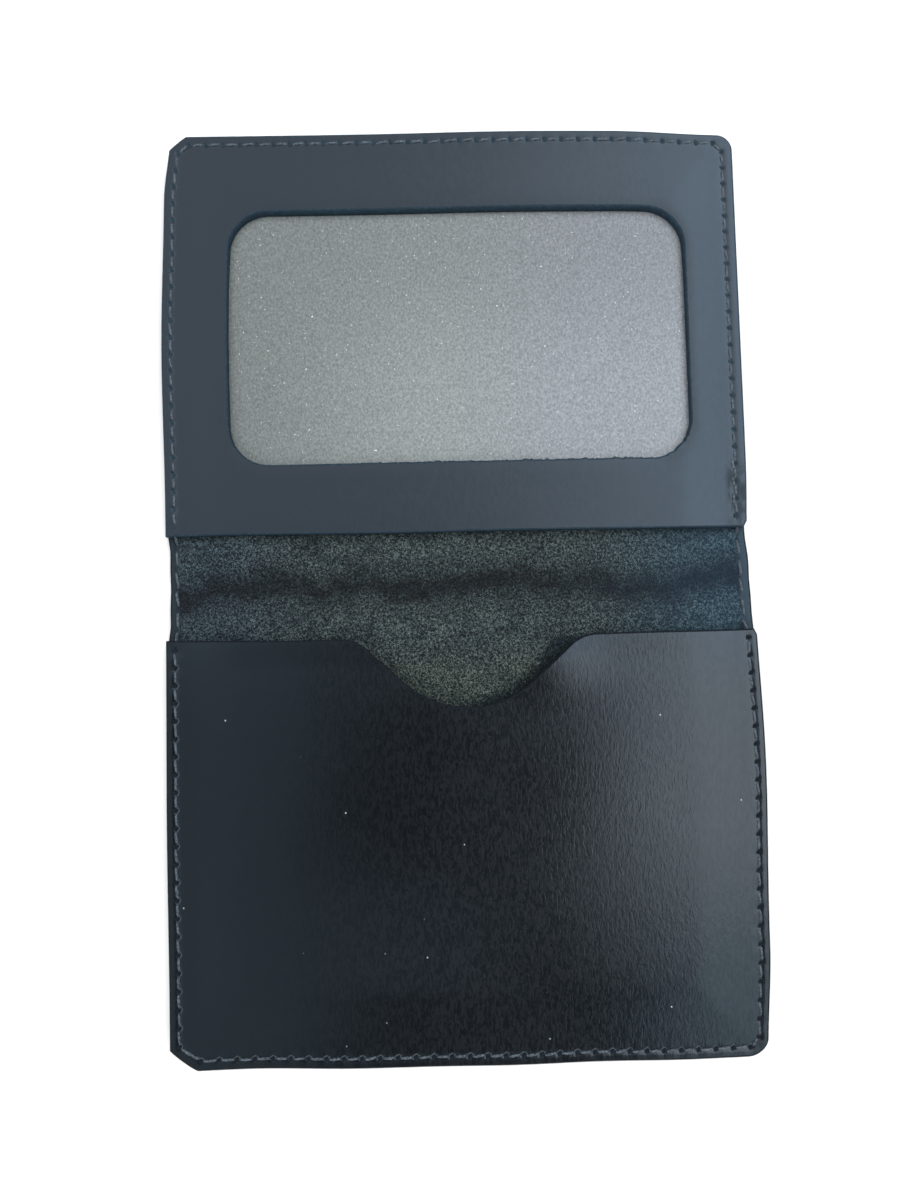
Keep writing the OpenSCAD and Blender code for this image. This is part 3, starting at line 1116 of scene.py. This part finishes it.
needle_lower = thread_tubes("needle_stitches_pocket_side", -1, needle_pieces(-1), 1)
needle_upper = thread_tubes("needle_stitches_window_side", 1, needle_pieces(1), 1)
bobbin_lower = thread_tubes("bobbin_stitches_pocket_side", -1, bobbin_pieces(-1), -1)
bobbin_upper = thread_tubes("bobbin_stitches_window_side", 1, bobbin_pieces(1), -1)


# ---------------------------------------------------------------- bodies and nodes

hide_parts("cover_lower", "cover_spine")
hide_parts("cover_upper")
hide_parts("card_pocket", "card_pocket_seam")
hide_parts("window_panel", "window_panel_seam")
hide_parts("window_film", "film_adhesive")
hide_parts("needle_thread_lower", "needle_thread_spine")
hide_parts("needle_thread_upper")
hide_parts("bobbin_thread_lower", "bobbin_thread_spine")
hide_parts("bobbin_thread_upper")

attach(card_pocket_panel, "lower_half")
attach(window_frame_panel, "upper_half")
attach(window_film_sheet, "upper_half")
for piece in (cover_pocket_side, needle_lower, bobbin_lower):
    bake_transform(piece)
for piece in (cover_window_side, needle_upper, bobbin_upper):
    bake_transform(piece)


# ---------------------------------------------------------------- floor and lights

FLOOR_HALF = 3.0
FLOOR_COLOUR = (0.95, 0.95, 0.95, 1)
LIGHT_HEIGHT = 0.8


def floor():
    """A plain pale floor."""
    half = FLOOR_HALF
    mesh = bpy.data.meshes.new("floor")
    corners = [(-half, -half, 0), (half, -half, 0), (half, half, 0), (-half, half, 0)]
    mesh.from_pydata(corners, [], [(0, 1, 2, 3)])
    obj = link("floor", mesh)
    material = bpy.data.materials.new("floor_pale")
    material.use_nodes = True
    shader = material.node_tree.nodes["Principled BSDF"]
    shader.inputs["Base Color"].default_value = FLOOR_COLOUR
    shader.inputs["Roughness"].default_value = 0.9
    shader.inputs["Specular IOR Level"].default_value = 0.1
    mesh.materials.append(material)


def panel_light(name, u, v, radiance, colour):
    """A soft overhead panel. u and v are its extents across and along, as shares of its height."""
    data = bpy.data.lights.new(name, "AREA")
    data.shape = "RECTANGLE"
    data.size = (u[1] - u[0]) * LIGHT_HEIGHT
    data.size_y = (v[1] - v[0]) * LIGHT_HEIGHT
    data.energy = radiance * math.pi * data.size * data.size_y
    data.color = colour
    obj = link(name, data)
    obj.location = (
        (u[0] + u[1]) / 2 * LIGHT_HEIGHT, (v[0] + v[1]) / 2 * LIGHT_HEIGHT, LIGHT_HEIGHT
    )


floor()
# Name, extent across, extent along, radiance and colour of each soft panel
PANELS = (
    ("light_right_top", (0.36, 1.6), (0.0, 1.6), 3.5, (0.88, 0.95, 1.0)),
    ("light_right_middle", (0.22, 0.36), (0.0, 1.6), 2.8, (0.97, 0.98, 1.0)),
    ("light_middle_right", (0.12, 0.22), (0.0, 1.6), 2.2, (1.0, 0.97, 0.95)),
    ("light_middle", (-0.05, 0.12), (0.05, 1.6), 1.45, (0.98, 1.0, 0.98)),
    ("light_left_top", (-0.75, -0.05), (0.05, 1.6), 1.4, (0.96, 0.98, 1.0)),
    ("light_right_low", (0.24, 1.6), (-0.36, 0.0), 3.2, (1.0, 0.91, 0.82)),
    ("light_right_bottom", (0.30, 1.6), (-0.8, -0.36), 1.5, (0.9, 1.0, 0.98)),
    ("light_left_low", (-0.75, -0.17), (-0.8, 0.05), 0.5, (0.9, 1.0, 1.0)),
    ("light_low", (-0.20, 0.07), (-0.47, -0.30), 0.3, (0.9, 0.95, 1.0)),
    ("light_far_left", (-2.6, -0.75), (-1.2, 1.2), 2.5, (1.0, 1.0, 1.0)),
    ("light_far_front", (-1.0, 1.0), (-2.6, -1.0), 2.5, (1.0, 1.0, 1.0)),
)
for name, across, along, radiance, colour in PANELS:
    panel_light(name, across, along, radiance, colour)

world = bpy.data.worlds.new("studio")
world.use_nodes = True
background = world.node_tree.nodes["Background"]
background.inputs["Color"].default_value = (0.95, 0.98, 1.0, 1)
background.inputs["Strength"].default_value = 0.10
bpy.context.scene.world = world
bpy.context.scene.view_settings.view_transform = "Standard"
